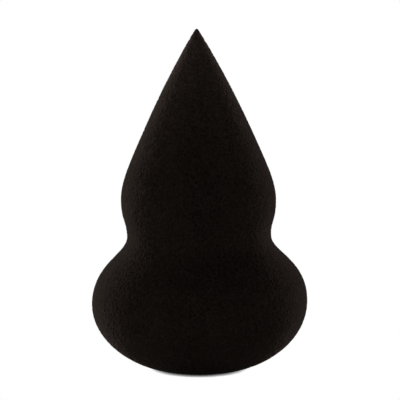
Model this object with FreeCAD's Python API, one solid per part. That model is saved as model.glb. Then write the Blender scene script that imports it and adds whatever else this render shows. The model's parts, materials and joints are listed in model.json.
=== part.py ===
"""Pointed makeup sponge: one turned piece of fine-pored foam with a wide round base, a waist and a long tip.

The foam is a single round body. It is divided, face to face, into the zones that move against each other
when the foam gives: the base that squashes, the waist that leans, the shoulder that the fingers hold, the
neck that bends, and the tip. Lengths are in millimetres, the sponge's axis is Z, and it stands on Z = 0.
"""

import FreeCAD, Part
import math
import os

# Outline, from the surface that the sponge stands on upwards
FLAT_DIAMETER = 10.0  # flat underside that the sponge stands on
BASE_DIAMETER = 40.0  # widest ring of the base
BASE_RISE = 12.45  # from the flat up to the widest ring
BASE_TO_WAIST = 12.55  # from the widest ring up to the waist
WAIST_DIAMETER = 26.7
WAIST_TO_SHOULDER = 6.8  # from the waist up to the ring where the shoulder is widest
SHOULDER_DIAMETER = 28.7
SHOULDER_TO_NECK = 12.2  # from the shoulder's widest ring up the cone to where the tip starts to bend
NECK_DIAMETER = 20.6  # across the cone there
NECK_ANGLE = 47.7  # full angle of the cone there, in degrees
NECK_TO_POINT = 19.65  # from there up to the very point
POINT_ANGLE = 61.6  # full angle of the cone just below the point, in degrees
POINT_RADIUS = 0.35  # the point is rounded by this much

# How far the outline runs on before it turns away, at each of its rings
FLAT_ROLL = 6.8  # outwards from the rim of the flat
BASE_ROLL_BELOW = 7.2  # downwards from the base's widest ring
BASE_ROLL_ABOVE = 7.5  # upwards from the base's widest ring
WAIST_ROLL_BELOW = 3.5  # downwards from the waist
WAIST_ROLL_ABOVE = 3.0  # upwards from the waist
SHOULDER_ROLL_BELOW = 3.8  # downwards from the shoulder's widest ring
SHOULDER_ROLL_ABOVE = 3.1  # upwards from the shoulder's widest ring
NECK_ROLL_BELOW = 6.7  # down the cone from the neck
NECK_ROLL_ABOVE = 7.3  # up the cone from the neck
POINT_ROLL = 8.1  # down the cone from the point

# Stretches of foam that bend
WAIST_BEND_BELOW = 5.0  # below the waist
WAIST_BEND_ABOVE = 5.0  # above the waist
NECK_LENGTH = 8.0  # length of foam that bends when the tip is pushed aside

waist_height = BASE_RISE + BASE_TO_WAIST
shoulder_height = waist_height + WAIST_TO_SHOULDER
neck_bottom = shoulder_height + SHOULDER_TO_NECK
neck_top = neck_bottom + NECK_LENGTH
point_height = neck_bottom + NECK_TO_POINT
waist_bottom = waist_height - WAIST_BEND_BELOW
waist_top = waist_height + WAIST_BEND_ABOVE
widest_diameter = max(BASE_DIAMETER, WAIST_DIAMETER, SHOULDER_DIAMETER)


def at(radius, height):
    """A point of the outline, which lies in the XZ plane."""
    return FreeCAD.Vector(radius, 0, height)


def line(start, end):
    """A straight edge."""
    return Part.LineSegment(start, end).toShape()


def curve(start, start_handle, end_handle, end):
    """An edge that leaves start towards start_handle and comes into end from end_handle."""
    bezier = Part.BezierCurve()
    bezier.setPoles([start, start_handle, end_handle, end])
    return bezier.toShape()


def up_cone(full_angle):
    """The direction up the side of a cone with this full angle, in degrees."""
    lean = math.radians(full_angle / 2)
    return at(-math.sin(lean), math.cos(lean))


def base_underside():
    """Edge from the rim of the flat, which it leaves smoothly, out to the widest ring."""
    rim = at(FLAT_DIAMETER / 2, 0)
    widest = at(BASE_DIAMETER / 2, BASE_RISE)
    return curve(rim, rim + at(FLAT_ROLL, 0), widest - at(0, BASE_ROLL_BELOW), widest)


def base_to_waist():
    """Edge over the top of the base and in to the waist."""
    widest = at(BASE_DIAMETER / 2, BASE_RISE)
    waist = at(WAIST_DIAMETER / 2, waist_height)
    return curve(widest, widest + at(0, BASE_ROLL_ABOVE), waist - at(0, WAIST_ROLL_BELOW), waist)


def waist_to_shoulder():
    """Edge out of the waist to the shoulder's widest ring."""
    waist = at(WAIST_DIAMETER / 2, waist_height)
    widest = at(SHOULDER_DIAMETER / 2, shoulder_height)
    return curve(waist, waist + at(0, WAIST_ROLL_ABOVE), widest - at(0, SHOULDER_ROLL_BELOW), widest)


def shoulder_to_neck():
    """Edge over the shoulder and up the cone to the neck."""
    widest = at(SHOULDER_DIAMETER / 2, shoulder_height)
    neck = at(NECK_DIAMETER / 2, neck_bottom)
    neck_handle = up_cone(NECK_ANGLE) * NECK_ROLL_BELOW
    return curve(widest, widest + at(0, SHOULDER_ROLL_ABOVE), neck - neck_handle, neck)


def neck_to_point():
    """Edges on up the slightly bowed cone and over the rounded point to the axis."""
    half_angle = math.radians(POINT_ANGLE / 2)
    halfway_up = (half_angle + math.pi / 2) / 2  # direction of the middle of the rounding
    neck = at(NECK_DIAMETER / 2, neck_bottom)
    neck_handle = up_cone(NECK_ANGLE) * NECK_ROLL_ABOVE
    ball_centre = at(0, point_height - POINT_RADIUS)
    cone_end = ball_centre + at(math.cos(half_angle), math.sin(half_angle)) * POINT_RADIUS
    cone_handle = up_cone(POINT_ANGLE) * POINT_ROLL
    ball_middle = ball_centre + at(math.cos(halfway_up), math.sin(halfway_up)) * POINT_RADIUS
    cone = curve(neck, neck + neck_handle, cone_end - cone_handle, cone_end)
    rounding = Part.Arc(cone_end, ball_middle, at(0, point_height)).toShape()
    return [cone, rounding]


def sponge():
    """The whole foam body, turned about the axis."""
    foot = at(0, 0)
    flat = line(foot, at(FLAT_DIAMETER / 2, 0))
    side = [base_underside(), base_to_waist(), waist_to_shoulder(), shoulder_to_neck(), *neck_to_point()]
    axis = line(at(0, point_height), foot)
    half_section = Part.Face(Part.Wire([flat, *side, axis]))
    return half_section.revolve(foot, FreeCAD.Vector(0, 0, 1), 360)


def zone(body, bottom, top):
    """The stretch of the foam between two heights."""
    slab = Part.makeCylinder(widest_diameter, top - bottom, at(0, bottom))
    return body.common(slab).Solids[0]


def main():
    """Write each zone of the foam as its own solid."""
    body = sponge()
    zones = {
        "foam_base": zone(body, 0, waist_bottom),
        "foam_waist": zone(body, waist_bottom, waist_top),
        "foam_shoulder": zone(body, waist_top, neck_bottom),
        "foam_neck": zone(body, neck_bottom, neck_top),
        "foam_tip": zone(body, neck_top, point_height),
    }
    os.makedirs("parts", exist_ok=True)
    for name, solid in zones.items():
        solid.exportStep(f"parts/{name}.step")
        print(f"{name}: {solid.Volume / 1000:.3f} cm3, valid {solid.isValid()}")
    print(f"sponge: {body.Volume / 1000:.3f} cm3, {point_height:.2f} mm tall")


main()
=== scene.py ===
"""Looks of a pointed makeup sponge: black fine-pored foam with a round base, a waist and a long tip.

The foam is one turned skin, pitted by its open pores. It is cut into three pieces, each tied to
one joint of the frame, which squashes the base, leans the waist or bends the tip. Lengths are in metres.
"""

import json
import logging
import math
from dataclasses import dataclass, field
from enum import Enum

import bpy
import numpy as np
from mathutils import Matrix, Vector, noise

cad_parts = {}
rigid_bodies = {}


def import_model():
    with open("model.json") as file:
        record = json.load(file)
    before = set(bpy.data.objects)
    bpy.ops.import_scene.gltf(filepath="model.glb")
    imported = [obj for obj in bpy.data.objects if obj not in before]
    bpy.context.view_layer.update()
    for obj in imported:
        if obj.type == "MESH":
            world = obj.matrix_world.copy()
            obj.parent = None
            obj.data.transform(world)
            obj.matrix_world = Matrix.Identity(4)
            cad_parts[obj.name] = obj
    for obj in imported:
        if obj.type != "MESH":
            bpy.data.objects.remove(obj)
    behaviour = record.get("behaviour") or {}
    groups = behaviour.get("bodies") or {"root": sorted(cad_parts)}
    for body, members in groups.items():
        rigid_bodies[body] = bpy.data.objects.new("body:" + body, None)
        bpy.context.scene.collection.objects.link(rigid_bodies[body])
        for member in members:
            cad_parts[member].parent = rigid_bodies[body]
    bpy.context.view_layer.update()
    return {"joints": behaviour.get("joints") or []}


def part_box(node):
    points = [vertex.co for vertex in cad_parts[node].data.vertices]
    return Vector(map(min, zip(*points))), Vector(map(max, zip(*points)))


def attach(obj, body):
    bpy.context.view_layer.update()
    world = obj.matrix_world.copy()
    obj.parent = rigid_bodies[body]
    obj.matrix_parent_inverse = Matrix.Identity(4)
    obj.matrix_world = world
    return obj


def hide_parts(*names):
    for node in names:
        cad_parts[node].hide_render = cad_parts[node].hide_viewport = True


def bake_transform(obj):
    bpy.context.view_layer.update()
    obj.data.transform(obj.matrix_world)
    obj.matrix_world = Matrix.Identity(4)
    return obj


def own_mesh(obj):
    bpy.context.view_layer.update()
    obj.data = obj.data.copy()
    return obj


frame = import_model()

log = logging.getLogger("makeup_sponge")

MM = 0.001
REST_PLACE = "rest_place"  # point attribute: where a point of the skin lies when the foam is at rest
PORE = "pore"  # point attribute: 0 on a cell wall, 1 at the bottom of an open pore; the finish darkens the pores by it as painted shade
BAKE_MAP = "OFBake"  # name of the map that a finish is baked through


class Zone(Enum):
    """Zones of the foam, by the names of their nodes, from the bottom up."""

    BASE = "foam_base"
    WAIST = "foam_waist"
    SHOULDER = "foam_shoulder"
    NECK = "foam_neck"
    TIP = "foam_tip"

    @property
    def bottom(self) -> float:
        """Height at which the zone starts."""
        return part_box(self.value)[0].z

    @property
    def top(self) -> float:
        """Height at which the zone ends."""
        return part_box(self.value)[1].z

    @property
    def radius(self) -> float:
        """Radius of the zone where it is widest."""
        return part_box(self.value)[1].x


class Joint(Enum):
    """Joints that the foam gives with, by their names in the frame."""

    BASE_SQUEEZE = "base_squeeze"
    WAIST_LEAN = "waist_lean"
    TIP_BEND = "tip_bend"

    @property
    def facts(self) -> dict:
        """What the frame says of the joint."""
        return next(joint for joint in frame["joints"] if joint["name"] == self.value)


class MapLayout(Enum):
    """Ways of laying a skin out flat: how far its lowest and highest ring lie from the map's middle."""

    DISC_ABOUT_FOOT = (0.0, 0.48)
    RING = (0.48, 0.20)
    DISC_ABOUT_POINT = (0.48, 0.0)


class NodeBoard:
    """Places and wires the nodes of one material or of the world."""

    def __init__(self, tree: bpy.types.NodeTree) -> None:
        """Start with an empty tree."""
        tree.nodes.clear()
        self.tree = tree

    def add(self, kind: str, values: dict | None = None, **settings: object) -> bpy.types.Node:
        """Add one node.

        Args:
            kind: Blender's name for the type of node.
            values: For each input, by name, a number, a colour or the output that feeds it.
            settings: Attributes of the node itself, such as its operation.

        Returns:
            The new node.
        """
        node = self.tree.nodes.new(kind)
        for name, setting in settings.items():
            setattr(node, name, setting)
        for name, value in (values or {}).items():
            if isinstance(value, bpy.types.NodeSocket):
                self.tree.links.new(value, node.inputs[name])
            else:
                node.inputs[name].default_value = value
        return node

    def remap(self, value: bpy.types.NodeSocket, low: float | bpy.types.NodeSocket, high: float,
              start: float = 0.0, end: float = 1.0) -> bpy.types.NodeSocket:
        """Stretch a number from one range to another.

        Args:
            value: Output that gives the number.
            low: What start turns into, or the output that gives it.
            high: What end turns into.
            start: Lower end of the number's range.
            end: Upper end of the number's range.

        Returns:
            The output that gives the new number.
        """
        values = {"Value": value, "From Min": start, "From Max": end, "To Min": low, "To Max": high}
        return self.add("ShaderNodeMapRange", values).outputs["Result"]

    def tint(self, colour: bpy.types.NodeSocket, strength: bpy.types.NodeSocket) -> bpy.types.NodeSocket:
        """Make a colour lighter or darker.

        Args:
            colour: Output that gives the colour.
            strength: Output that gives the factor.

        Returns:
            The output that gives the new colour.
        """
        return self.add("ShaderNodeVectorMath", {0: colour, "Scale": strength}, operation="SCALE").outputs[0]


@dataclass(frozen=True)
class BlackFoam:
    """Finish of dry black foam: dull, warm in tone, speckled by its pores, darkened in them by painted shade,
    paler where seen edge-on and painted paler towards the point.
    """

    wall: tuple[float, float, float] = (0.0147, 0.0110, 0.0092)
    # painted shade: the bottom of an open pore is coloured darker than a cell wall, for the shade inside it
    pit_painted_shade: tuple[float, float, float] = (0.0071, 0.0053, 0.0045)
    fuzz: tuple[float, float, float] = (1.0, 0.78, 0.69)
    fuzz_weight: float = 0.034
    fuzz_roughness: float = 0.42
    gloss: float = 0.0
    roughness: tuple[float, float] = (0.90, 1.0)  # of a cell wall, and of the bottom of a pore
    speck_size: float = 0.22 * MM
    speck_detail: float = 2.0
    speck_range: tuple[float, float] = (0.86, 1.14)  # factors on the colour
    mottle_size: float = 6.0 * MM
    mottle_detail: float = 4.0
    mottle_range: tuple[float, float] = (0.88, 1.12)  # factors on the colour
    cloud_range: tuple[float, float] = (0.3, 0.7)  # what cloudy noise mostly stays between
    fine_cell: float = 0.30 * MM
    fine_depth: float = 0.03 * MM
    painted_light_from: float = 30.0 * MM  # painted light: from this height up to the point the colour is made paler
    painted_light_to: float = Zone.TIP.top
    painted_light_most: float = 3.1  # factor of the painted light on the colour at the point
    painted_light_steepness: float = 3.0  # power that keeps most of the painted light near the point

    def material(self) -> bpy.types.Material:
        """Make the material.

        Returns:
            A material that reads the skin's resting place and pores.
        """
        material = bpy.data.materials.new("black_foam")
        material.use_nodes = True
        board = NodeBoard(material.node_tree)
        place = board.add("ShaderNodeAttribute", attribute_name=REST_PLACE).outputs["Vector"]
        pore = board.add("ShaderNodeAttribute", attribute_name=PORE).outputs["Fac"]
        shader = board.add("ShaderNodeBsdfPrincipled", {
            "Base Color": self.colour(board, place, pore),
            "Roughness": board.remap(pore, *self.roughness),
            "Normal": self.fine_relief(board, place),
            "Specular IOR Level": self.gloss,
            "Sheen Weight": self.fuzz_weight,
            "Sheen Roughness": self.fuzz_roughness,
            "Sheen Tint": (*self.fuzz, 1.0),
        })
        board.add("ShaderNodeOutputMaterial", {"Surface": shader.outputs["BSDF"]})
        return material

    def colour(self, board: NodeBoard, place: bpy.types.NodeSocket,
               pore: bpy.types.NodeSocket) -> bpy.types.NodeSocket:
        """Colour the cell walls and, darker as painted shade, the pores, with specks and a slow mottle, and
        paler towards the point as painted light.

        Args:
            board: Where the nodes go.
            place: Output that gives the resting place.
            pore: Output that gives how open the pore is.

        Returns:
            The output that gives the colour.
        """
        # painted shade: the colour is mixed towards the darker pit colour by how open the pore is
        walls = board.add("ShaderNodeMix", data_type="RGBA")
        walls.inputs["A"].default_value = (*self.wall, 1.0)
        walls.inputs["B"].default_value = (*self.pit_painted_shade, 1.0)
        board.tree.links.new(pore, walls.inputs["Factor"])
        speck = self.clouds(board, place, self.speck_size, self.speck_detail)
        mottle = self.clouds(board, place, self.mottle_size, self.mottle_detail)
        specks = board.remap(speck, *self.speck_range, *self.cloud_range)
        mottles = board.remap(mottle, *self.mottle_range, *self.cloud_range)
        mottled = board.tint(board.tint(walls.outputs["Result"], specks), mottles)
        # painted light: the colour is raised towards the point, where the tip shows brighter
        height = board.add("ShaderNodeSeparateXYZ", {"Vector": place}).outputs["Z"]
        climb = board.remap(height, 0.0, 1.0, self.painted_light_from, self.painted_light_to)
        steep = board.add("ShaderNodeMath", {0: climb, 1: self.painted_light_steepness}, operation="POWER")
        return board.tint(mottled, board.remap(steep.outputs["Value"], 1.0, self.painted_light_most))

    def fine_relief(self, board: NodeBoard, place: bpy.types.NodeSocket) -> bpy.types.NodeSocket:
        """Bump the skin with the cells that are too small for its mesh.

        Args:
            board: Where the nodes go.
            place: Output that gives the resting place.

        Returns:
            The output that gives the normal.
        """
        cells = board.add("ShaderNodeTexVoronoi", {"Vector": place, "Scale": 1 / self.fine_cell})
        bump = board.add("ShaderNodeBump", {"Height": cells.outputs["Distance"], "Distance": self.fine_depth})
        return bump.outputs["Normal"]

    @staticmethod
    def clouds(board: NodeBoard, place: bpy.types.NodeSocket, size: float,
               detail: float) -> bpy.types.NodeSocket:
        """Add cloudy noise.

        Args:
            board: Where the nodes go.
            place: Output that gives the resting place.
            size: Width of its patches.
            detail: How many finer layers it has.

        Returns:
            The output that gives the noise.
        """
        values = {"Vector": place, "Scale": 1 / size, "Detail": detail}
        return board.add("ShaderNodeTexNoise", values).outputs["Fac"]


@dataclass(frozen=True)
class Outline:
    """Half outline of the sponge, from the middle of its flat up to its point."""

    base_radius: float
    waist_height: float
    shoulder_radius: float
    neck_radius: float
    neck_height: float
    point_height: float
    flat_radius: float = 5.0 * MM
    base_rise: float = 12.45 * MM
    waist_radius: float = 13.35 * MM
    shoulder_height: float = 31.8 * MM
    neck_angle: float = math.radians(47.7)
    point_angle: float = math.radians(61.6)
    point_radius: float = 0.35 * MM
    flat_roll: float = 6.8 * MM
    base_roll_below: float = 7.2 * MM
    base_roll_above: float = 7.5 * MM
    waist_roll_below: float = 3.5 * MM
    waist_roll_above: float = 3.0 * MM
    shoulder_roll_below: float = 3.8 * MM
    shoulder_roll_above: float = 3.1 * MM
    neck_roll_below: float = 6.7 * MM
    neck_roll_above: float = 7.3 * MM
    point_roll: float = 8.1 * MM
    bend_steps: int = 400
    rounding_steps: int = 40

    def follow(self) -> np.ndarray:
        """Follow the outline closely.

        Returns:
            Rows of radius and height, in order from the foot of the axis to the point.
        """
        flat = np.array([(0.0, 0.0), (self.flat_radius, 0.0)])
        sides = [self.underside(), self.base_top(), self.waist_top(), self.shoulder_top(), self.cone()]
        return np.concatenate([flat, *sides, self.rounding()])

    def underside(self) -> np.ndarray:
        """Run from the rim of the flat, which it leaves smoothly, out to the widest ring."""
        return self.bend((self.flat_radius, 0.0), (self.flat_roll, 0),
                         (0, -self.base_roll_below), (self.base_radius, self.base_rise))

    def base_top(self) -> np.ndarray:
        """Run over the top of the base and in to the waist."""
        return self.bend((self.base_radius, self.base_rise), (0, self.base_roll_above),
                         (0, -self.waist_roll_below), (self.waist_radius, self.waist_height))

    def waist_top(self) -> np.ndarray:
        """Run out of the waist to the widest ring of the shoulder."""
        return self.bend((self.waist_radius, self.waist_height), (0, self.waist_roll_above),
                         (0, -self.shoulder_roll_below), (self.shoulder_radius, self.shoulder_height))

    def shoulder_top(self) -> np.ndarray:
        """Run over the shoulder and up the cone to the neck."""
        return self.bend((self.shoulder_radius, self.shoulder_height), (0, self.shoulder_roll_above),
                         self.down_cone(self.neck_angle, self.neck_roll_below),
                         (self.neck_radius, self.neck_height))

    def cone(self) -> np.ndarray:
        """Run on up the slightly bowed cone to the rounding of its point."""
        return self.bend((self.neck_radius, self.neck_height),
                         self.down_cone(self.neck_angle, -self.neck_roll_above),
                         self.down_cone(self.point_angle, self.point_roll), tuple(self.rounding()[0]))

    def rounding(self) -> np.ndarray:
        """Run over the rounded point to the axis.

        Returns:
            Rows of radius and height.
        """
        angles = np.linspace(self.point_angle / 2, math.pi / 2, self.rounding_steps)
        ball = np.stack([np.cos(angles), np.sin(angles)], 1) * self.point_radius
        ball[-1, 0] = 0.0
        return ball + (0, self.point_height - self.point_radius)

    @staticmethod
    def down_cone(full_angle: float, length: float) -> tuple[float, float]:
        """Step this far down the side of a cone with this full angle."""
        return length * math.sin(full_angle / 2), -length * math.cos(full_angle / 2)

    def bend(self, start: tuple[float, float], start_pull: tuple[float, float],
             end_pull: tuple[float, float], end: tuple[float, float]) -> np.ndarray:
        """Run along one smooth bend.

        Args:
            start: Radius and height where it starts.
            start_pull: How far and which way it sets off.
            end_pull: How far and from which way it comes in.
            end: Radius and height where it ends.

        Returns:
            Rows of radius and height, without the first.
        """
        share = np.linspace(0, 1, self.bend_steps)[1:, None]
        rest = 1 - share
        first, last = np.array(start), np.array(end)
        first_half = rest**3 * first + 3 * rest**2 * share * (first + start_pull)
        last_half = 3 * rest * share**2 * (last + end_pull) + share**3 * last
        return first_half + last_half


@dataclass(frozen=True)
class Moulding:
    """How one moulded sponge strays from a perfectly turned one."""

    point_drift: float = -0.45 * MM  # the point leans a little to the left
    base_drift: float = 0.38 * MM  # the top of the base is a little fuller on the right
    drift_height: float = 20.2 * MM
    drift_below: float = 7.0 * MM
    drift_above: float = 3.8 * MM

    def sideways(self, heights: np.ndarray, point_height: float) -> np.ndarray:
        """Give the drift of the foam's middle line along X.

        Args:
            heights: Heights to give it at.
            point_height: Height of the point.

        Returns:
            The drift at each height.
        """
        lean = self.point_drift * (heights / point_height) ** 2
        above = heights - self.drift_height
        reach = np.where(above < 0, self.drift_below, self.drift_above)
        return lean + self.base_drift * np.exp(-((above / reach) ** 2))


@dataclass(frozen=True)
class Pores:
    """Open pores in the foam's skin."""

    spacing: float = 0.68 * MM
    depth: float = 0.10 * MM
    mouth: float = 0.21  # where a pore is fully open, as a share of the spacing from its cell wall
    shallowest: float = 0.65  # depth of the least open pores, as a share of the deepest
    fade: float = 2.0 * MM  # they get shallower over this length below the point
    shuffle: float = 7.0  # spreads neighbouring pores out, so that each has a depth of its own

    def openness(self, place: Vector) -> float:
        """Tell how far into an open pore a place is.

        Args:
            place: Place on the skin.

        Returns:
            0 on a cell wall, up to 1 at the bottom of a pore.
        """
        distances, centres = noise.voronoi(place / self.spacing)
        share = min((distances[1] - distances[0]) / self.mouth, 1.0)
        own = 0.5 + 0.5 * noise.cell(centres[0] * self.shuffle)
        return share * share * (3 - 2 * share) * (self.shallowest + (1 - self.shallowest) * own)


@dataclass
class Skin:
    """The sponge's whole skin: rings of points, one above the other, from the foot up to the point."""

    outline: Outline
    moulding: Moulding
    pores: Pores
    cuts: tuple[float, ...]
    spacing: float = 0.185 * MM
    fewest: int = 5  # points on the smallest ring
    twist: float = (math.sqrt(5) - 1) / 2  # turns each ring against the last by this share of a turn
    along: np.ndarray = field(init=False)  # how far along the outline each ring lies
    cut_rows: list[int] = field(init=False)  # rings at which the pieces start and end
    counts: np.ndarray = field(init=False)  # number of points on each ring
    firsts: np.ndarray = field(init=False)  # first point of each ring
    phases: np.ndarray = field(init=False)  # how far each ring is turned, as a share of a turn
    row: np.ndarray = field(init=False)  # ring that each point is on
    outwards: np.ndarray = field(init=False)  # level direction from the axis to each point
    places: np.ndarray = field(init=False)  # where each point is
    normals: np.ndarray = field(init=False)  # which way the smooth outline faces at each point
    pore: np.ndarray = field(init=False)  # how far into an open pore each point is
    shading: np.ndarray = field(init=False)  # which way the pitted skin faces at each point

    def __post_init__(self) -> None:
        """Lay out the rings and their points, press the pores in and smooth the shading."""
        radii, heights = self.lay_rings()
        self.place_points(radii, heights)
        self.press_pores()
        self.smooth_shading()

    def lay_rings(self) -> tuple[np.ndarray, np.ndarray]:
        """Space the rings evenly along the outline, with one at each cut.

        Returns:
            The radius and the height of each ring.
        """
        line = self.outline.follow()
        steps = np.linalg.norm(np.diff(line, axis=0), axis=1)
        line = line[np.concatenate([[True], steps > 0])]
        along = np.concatenate([[0.0], np.cumsum(steps[steps > 0])])
        stops = [0.0, *np.interp(self.cuts, line[:, 1], along), along[-1]]
        runs = [np.linspace(low, high, math.ceil((high - low) / self.spacing), endpoint=False)
                for low, high in zip(stops, stops[1:])]
        self.along = np.concatenate([*runs, [along[-1]]])
        self.cut_rows = [0, *np.cumsum([len(run) for run in runs])]
        radii, heights = (np.interp(self.along, along, line[:, axis]) for axis in (0, 1))
        radii[[0, -1]] = 0.0
        return radii, heights

    def place_points(self, radii: np.ndarray, heights: np.ndarray) -> None:
        """Spread points evenly round each ring and find which way the skin faces there.

        Args:
            radii: Radius of each ring.
            heights: Height of each ring.
        """
        self.counts = np.maximum(np.round(2 * math.pi * radii / self.spacing), self.fewest).astype(int)
        self.counts[[0, -1]] = 1
        self.firsts = np.concatenate([[0], np.cumsum(self.counts)])
        self.phases = np.arange(len(radii)) * self.twist % 1
        self.row = np.repeat(np.arange(len(radii)), self.counts)
        step = np.arange(len(self.row)) - self.firsts[self.row]
        turn = 2 * math.pi * (step / self.counts[self.row] + self.phases[self.row])
        self.outwards = np.stack([np.cos(turn), np.sin(turn)], 1)
        self.places = np.concatenate([self.outwards * radii[self.row, None], heights[self.row, None]], 1)
        self.places[:, 0] += self.moulding.sideways(heights, self.outline.point_height)[self.row]
        slope = np.stack([np.gradient(radii, self.along), np.gradient(heights, self.along)], 1)
        slope /= np.linalg.norm(slope, axis=1, keepdims=True)
        self.normals = np.concatenate([self.outwards * slope[self.row, 1:], -slope[self.row, :1]], 1)

    def press_pores(self) -> None:
        """Press the pores in, with their mean depth on the outline, and keep the flat and the cuts level."""
        self.pore = np.array([self.pores.openness(Vector(place)) for place in self.places])
        fade = np.clip((self.along[-1] - self.along) / self.pores.fade, 0, 1)[self.row]
        depth = (self.pore - self.pore.mean()) * fade * self.pores.depth
        inwards = -self.normals * depth[:, None]
        # A cut stays level, so that the two pieces still meet there when one of them is squashed.
        cut = np.isin(self.row, self.cut_rows[1:-1])
        inwards[cut, :2] /= (self.normals[cut, :2] ** 2).sum(1, keepdims=True)
        inwards[cut, 2] = 0.0
        self.places = self.places + inwards
        self.places[:, 2] = np.maximum(self.places[:, 2], 0)

    def smooth_shading(self) -> None:
        """Average the faces round each point of the whole skin, so that its shading runs on over the cuts."""
        corners = self.faces(0, len(self.counts) - 1)
        first, second, third = (self.places[corners[:, corner]] for corner in range(3))
        facing = np.cross(second - first, third - first)
        self.shading = np.zeros_like(self.places)
        for corner in range(3):
            np.add.at(self.shading, corners[:, corner], facing)
        self.shading /= np.linalg.norm(self.shading, axis=1, keepdims=True)

    def faces(self, low: int, high: int) -> np.ndarray:
        """Join rings into triangles.

        Args:
            low: Lowest ring.
            high: Highest ring.

        Returns:
            The triangles' corners, which face outwards.
        """
        return np.concatenate([self.strip(row) for row in range(low, high)])

    def strip(self, row: int) -> np.ndarray:
        """Join a ring to the next one: each edge goes to the nearest point of the other ring.

        Args:
            row: The lower of the two rings.

        Returns:
            The triangles' corners.
        """
        sides = []
        for own, other, way in ((row, row + 1, 1), (row + 1, row, -1)):
            count = self.counts[own]
            if count == 1:  # a single point, which has no edge
                continue
            step = np.arange(count)
            middle = (step + 0.5) / count + self.phases[own] - self.phases[other]
            near = np.floor(middle * self.counts[other] + 0.5).astype(int) % self.counts[other]
            edge = np.stack([step, (step + 1) % count], 1)[:, ::way] + self.firsts[own]
            sides.append(np.column_stack([edge, near + self.firsts[other]]))
        return np.concatenate(sides)


@dataclass
class FoamPiece:
    """A stretch of the foam that belongs to one joint."""

    name: str
    zones: tuple[Zone, ...]
    joint: Joint
    layout: MapLayout
    fill: float = 0.9
    map_middle: float = 0.5  # the map runs from 0 to 1
    low_cut_middle: float = 0.06  # the two cuts lie in corners of the map
    high_cut_middle: float = 0.94
    cut_reach: float = 0.05
    foam: bpy.types.Object = field(init=False)

    def build(self, skin: Skin, low: int, high: int) -> None:
        """Make the piece from part of the skin, closed where it is cut.

        Args:
            skin: The whole skin.
            low: Lowest ring of the piece.
            high: Highest ring of the piece.
        """
        own = slice(skin.firsts[low], skin.firsts[high + 1])
        places, pore, row, outwards = skin.places[own], skin.pore[own], skin.row[own], skin.outwards[own]
        outside = skin.faces(low, high) - own.start
        reach = np.interp(skin.along[row], skin.along[[low, high]], self.layout.value)
        corners = [outside]
        flat = [self.map_middle + (reach[:, None] * outwards)[outside]]
        for cut, way, middle in ((low, -1, self.low_cut_middle), (high, 1, self.high_cut_middle)):
            if skin.counts[cut] == 1:  # the skin closes there by itself
                continue
            ring = np.flatnonzero(row == cut)
            edge = np.stack([ring, np.roll(ring, -1)], 1)[:, ::way]
            corners.append(np.column_stack([edge, np.full(len(ring), len(places))]))
            rim = middle + self.cut_reach * outwards[edge]
            flat.append(np.concatenate([rim, np.full((len(ring), 1, 2), middle)], 1))
            places = np.concatenate([places, places[ring].mean(0, keepdims=True)])
            pore = np.append(pore, 0.0)
        self.put_together(places, np.concatenate(corners))
        self.note(places, pore, np.concatenate(flat))
        self.smooth(skin.shading[own][outside])

    def put_together(self, places: np.ndarray, corners: np.ndarray) -> None:
        """Put the piece's mesh together.

        Args:
            places: Where its points are.
            corners: The three points of each triangle.
        """
        mesh = bpy.data.meshes.new(self.name)
        mesh.from_pydata(places.tolist(), [], corners.tolist())
        self.foam = bpy.data.objects.new(self.name, mesh)
        bpy.context.scene.collection.objects.link(self.foam)

    def note(self, places: np.ndarray, pore: np.ndarray, flat: np.ndarray) -> None:
        """Note on the mesh what its finish reads.

        Args:
            places: Where each point rests.
            pore: How far into an open pore each point is.
            flat: Where each corner of each triangle lies on the map.
        """
        mesh = self.foam.data
        mesh.attributes.new(REST_PLACE, "FLOAT_VECTOR", "POINT").data.foreach_set("vector", places.ravel())
        mesh.attributes.new(PORE, "FLOAT", "POINT").data.foreach_set("value", pore)
        mesh.uv_layers.new(name=BAKE_MAP).data.foreach_set("uv", flat.ravel())

    def smooth(self, facing: np.ndarray) -> None:
        """Shade the outside as part of the whole skin, and leave the cuts plain.

        Args:
            facing: Which way the skin faces at each corner of the outside triangles, which come first.
        """
        mesh = self.foam.data
        mesh.polygons.foreach_set("use_smooth", np.arange(len(mesh.polygons)) < len(facing))
        shading = np.zeros((len(mesh.loops), 3))
        shading[:3 * len(facing)] = facing.reshape(-1, 3)
        mesh.normals_split_custom_set(shading.tolist())
        mesh.update()

    def dress(self, material: bpy.types.Material) -> None:
        """Give the piece its finish and put it in the place of its zones.

        Args:
            material: The finish.
        """
        self.foam.data.materials.append(material)
        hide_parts(*(zone.value for zone in self.zones))

    def bend(self, start: float, end: float) -> None:
        """Bake the piece's placement into its mesh."""
        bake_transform(self.foam)


@dataclass
class SpongeBase(FoamPiece):
    """The round base, which squashes towards the surface that it stands on."""

    name: str = "sponge_base"
    zones: tuple[Zone, ...] = (Zone.BASE,)
    joint: Joint = Joint.BASE_SQUEEZE
    layout: MapLayout = MapLayout.DISC_ABOUT_FOOT

    def give(self) -> None:
        """Tie the base to its joint's parent body and give it a mesh of its own."""
        facts = self.joint.facts
        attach(self.foam, facts["parent"])
        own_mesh(self.foam)


@dataclass
class SpongeWaist(FoamPiece):
    """The waist, which leans, with the shoulder above it."""

    name: str = "sponge_waist"
    zones: tuple[Zone, ...] = (Zone.WAIST, Zone.SHOULDER)
    joint: Joint = Joint.WAIST_LEAN
    layout: MapLayout = MapLayout.RING

    def give(self) -> None:
        """Hand the waist's heights to bend, which bakes its placement into its mesh."""
        self.bend(Zone.WAIST.bottom, Zone.WAIST.top)


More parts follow.
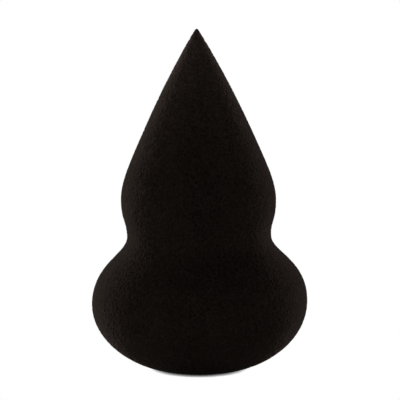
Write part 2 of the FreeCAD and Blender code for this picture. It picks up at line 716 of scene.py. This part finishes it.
@dataclass
class SpongeTip(FoamPiece):
    """The neck, which bends, with the pointed tip above it."""

    name: str = "sponge_tip"
    zones: tuple[Zone, ...] = (Zone.NECK, Zone.TIP)
    joint: Joint = Joint.TIP_BEND
    layout: MapLayout = MapLayout.DISC_ABOUT_POINT
    bend_length: float = 12.0 * MM  # stretch of the neck above its foot that is handed to bend

    def give(self) -> None:
        """Hand the lowest stretch of the neck to bend, which bakes the piece's placement into its mesh."""
        self.bend(Zone.NECK.bottom, Zone.NECK.bottom + self.bend_length)


@dataclass
class Sponge:
    """The whole makeup sponge."""

    finish: BlackFoam

    def build(self) -> tuple[FoamPiece, ...]:
        """Make and dress the pieces and run each one's give step, from the bottom up.

        Returns:
            The pieces.
        """
        outline = Outline(
            base_radius=Zone.BASE.radius,
            waist_height=Joint.WAIST_LEAN.facts["pos_m"][2],
            shoulder_radius=Zone.SHOULDER.radius,
            neck_radius=Zone.NECK.radius,
            neck_height=Zone.NECK.bottom,
            point_height=Zone.TIP.top,
        )
        skin = Skin(outline, Moulding(), Pores(), cuts=(Zone.BASE.top, Zone.SHOULDER.top))
        material = self.finish.material()
        pieces = (SpongeBase(), SpongeWaist(), SpongeTip())
        for piece, low, high in zip(pieces, skin.cut_rows, skin.cut_rows[1:]):
            piece.build(skin, low, high)
            piece.dress(material)
            piece.give()
        return pieces


@dataclass(frozen=True)
class Softbox:
    """A small square studio lamp that stands on the floor and faces the sponge."""

    name: str
    turn: float  # how far round the sponge it stands, in degrees, from the front towards the right
    watts: float
    width: float = 0.12
    height: float = 0.065
    distance: float = 0.60
    aim: tuple[float, float, float] = (0.0, 0.0, 30.0 * MM)

    def build(self) -> None:
        """Set the lamp up."""
        lamp = bpy.data.lights.new(self.name, "AREA")
        lamp.size = self.width
        lamp.energy = self.watts
        angle = math.radians(self.turn)
        stand = bpy.data.objects.new(self.name, lamp)
        stand.location = (self.distance * math.sin(angle), -self.distance * math.cos(angle), self.height)
        stand.rotation_euler = (Vector(self.aim) - stand.location).to_track_quat("-Z", "Y").to_euler()
        bpy.context.scene.collection.objects.link(stand)


@dataclass(frozen=True)
class Studio:
    """White floor and white surroundings with soft lamps."""

    floor_width: float = 4.0
    floor_height: float = -0.02 * MM
    floor_light: float = 0.43  # light that the white floor sends back up
    floor_light_reach: float = 30.0 * MM  # foam this close to the floor keeps light off it
    floor_light_range: tuple[float, float] = (0.3, 1.0)  # open share of the sky from no light up to all of it
    shadow_reach: float = 0.6 * MM  # only foam this close to the floor leaves a shadow that shows
    shadow_range: tuple[float, float] = (0.0, 0.9)  # open share of the sky from black up to plain white
    wall_light: float = 0.64
    ceiling_light: float = 0.05
    ceiling_starts: tuple[float, float] = (0.45, 0.55)  # sine of how high it is, from the last of the walls
    lamps: tuple[Softbox, ...] = (
        Softbox("left_softbox", turn=-85.0, watts=1.0),
        Softbox("left_back_softbox", turn=-130.0, watts=5.4),
        Softbox("right_back_softbox", turn=130.0, watts=3.6),
        Softbox("right_softbox", turn=85.0, watts=0.38),
    )

    def build(self) -> None:
        """Set the studio up."""
        self.lay_floor()
        self.paint_surroundings()
        for lamp in self.lamps:
            lamp.build()

    def lay_floor(self) -> None:
        """Lay the floor."""
        half = self.floor_width / 2
        corners = [(x * half, y * half, self.floor_height) for x, y in ((-1, -1), (1, -1), (1, 1), (-1, 1))]
        mesh = bpy.data.meshes.new("floor")
        mesh.from_pydata(corners, [], [(0, 1, 2, 3)])
        mesh.materials.append(self.floor_material())
        floor = bpy.data.objects.new("floor", mesh)
        bpy.context.scene.collection.objects.link(floor)

    def floor_material(self) -> bpy.types.Material:
        """Make the floor's finish: white where it is seen, and dimmer as a source of light.

        Returns:
            A material that darkens under the sponge.
        """
        material = bpy.data.materials.new("white_floor")
        material.use_nodes = True
        board = NodeBoard(material.node_tree)
        lit = board.add("ShaderNodeAmbientOcclusion", {"Distance": self.floor_light_reach}).outputs["AO"]
        sky = board.add("ShaderNodeAmbientOcclusion", {"Distance": self.shadow_reach}).outputs["AO"]
        given = board.remap(lit, 0.0, self.floor_light, *self.floor_light_range)
        seen = board.remap(sky, 0.0, 1.0, *self.shadow_range)
        light = board.add("ShaderNodeEmission", {"Strength": given}).outputs["Emission"]
        white = board.add("ShaderNodeEmission", {"Strength": seen}).outputs["Emission"]
        both = board.add("ShaderNodeMixShader", {0: self.seen_directly(board), 1: light, 2: white})
        board.add("ShaderNodeOutputMaterial", {"Surface": both.outputs["Shader"]})
        return material

    def paint_surroundings(self) -> None:
        """Surround the sponge with soft white light from the walls, seen as plain white."""
        world = bpy.data.worlds.new("surroundings")
        world.use_nodes = True
        board = NodeBoard(world.node_tree)
        way = board.add("ShaderNodeTexCoord").outputs["Generated"]
        height = board.add("ShaderNodeSeparateXYZ", {"Vector": way}).outputs["Z"]
        glow = board.remap(height, self.wall_light, self.ceiling_light, *self.ceiling_starts)
        strength = board.remap(self.seen_directly(board), glow, 1.0)
        light = board.add("ShaderNodeBackground", {"Color": (1.0, 1.0, 1.0, 1.0), "Strength": strength})
        board.add("ShaderNodeOutputWorld", {"Surface": light.outputs["Background"]})
        bpy.context.scene.world = world

    @staticmethod
    def seen_directly(board: NodeBoard) -> bpy.types.NodeSocket:
        """Tell what is seen, directly, in a mirror or through glass, from what only gives light.

        Args:
            board: Where the nodes go.

        Returns:
            The output that gives 1 for what is seen and 0 for the rest.
        """
        path = board.add("ShaderNodeLightPath").outputs
        rays = {0: path["Is Camera Ray"], 1: path["Is Glossy Ray"]}
        mirrored = board.add("ShaderNodeMath", rays, operation="MAXIMUM").outputs["Value"]
        rays = {0: mirrored, 1: path["Is Transmission Ray"]}
        return board.add("ShaderNodeMath", rays, operation="MAXIMUM").outputs["Value"]


@dataclass(frozen=True)
class Viewpoint:
    """Where the sponge is seen from: the front, a little from above, through a long lens."""

    elevation: float = math.radians(9.0)
    distance: float = 0.70
    aim: tuple[float, float, float] = (0.17 * MM, 0.0, 31.72 * MM)
    view_width: float = 74.17 * MM  # what the picture takes in at the sponge
    nearest: float = 0.05
    farthest: float = 20.0

    def build(self) -> None:
        """Set the camera up."""
        camera = bpy.data.cameras.new("camera")
        camera.lens = camera.sensor_width * self.distance / self.view_width
        camera.clip_start = self.nearest
        camera.clip_end = self.farthest
        back = Vector((0.0, -math.cos(self.elevation), math.sin(self.elevation)))
        stand = bpy.data.objects.new("camera", camera)
        stand.location = Vector(self.aim) + back * self.distance
        stand.rotation_euler = (-back).to_track_quat("-Z", "Y").to_euler()
        bpy.context.scene.collection.objects.link(stand)
        bpy.context.scene.camera = stand


def main() -> None:
    """Build the sponge and the studio round it."""
    logging.basicConfig(level=logging.INFO, format="%(name)s: %(message)s")
    bpy.context.scene.view_settings.view_transform = "Standard"
    Viewpoint().build()
    Studio().build()
    for piece in Sponge(BlackFoam()).build():
        log.info("%s: %d faces", piece.name, len(piece.foam.data.polygons))


if __name__ == "__main__":
    main()
